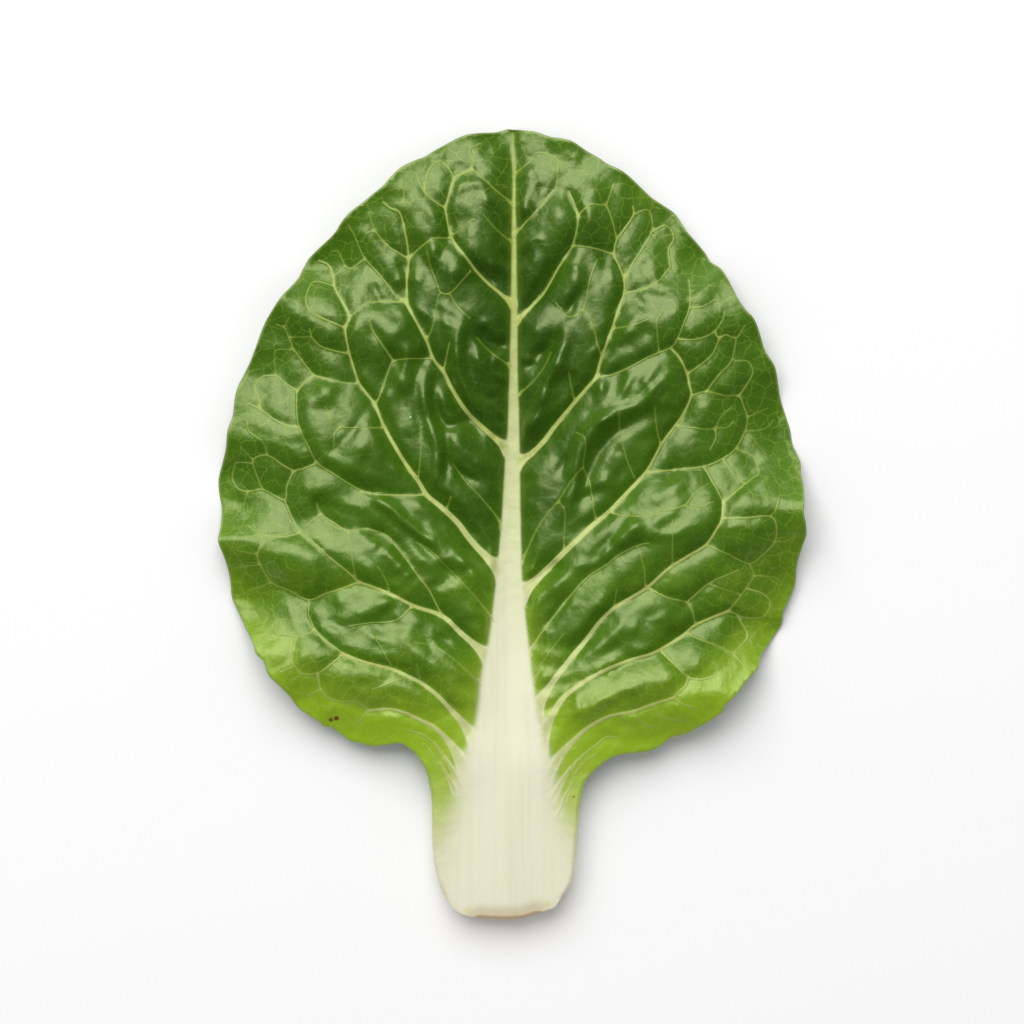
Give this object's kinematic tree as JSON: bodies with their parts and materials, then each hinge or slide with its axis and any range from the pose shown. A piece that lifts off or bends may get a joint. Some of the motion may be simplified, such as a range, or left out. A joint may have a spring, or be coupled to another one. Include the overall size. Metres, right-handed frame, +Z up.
{
  "type": "collard green leaf",
  "caption": "Detached broad leafy green with a thick pale stalk, a quilted dark green blade and a waved margin, lying on its back.",
  "frame": {"origin": "on the resting surface, under the middle of the leaf's box", "axes": "+Y from the cut end of the stalk to the tip, +Z up out of the leaf's upper face, +X across the blade"},
  "size_m": [0.1932, 0.26, 0.014],
  "materials": {
    "leaf": "satin leaf skin, dark green with pale veins and a cream stalk"
  },
  "bodies": {
    "root": {"collard_leaf": "leaf"}
  },
  "joints": []
}
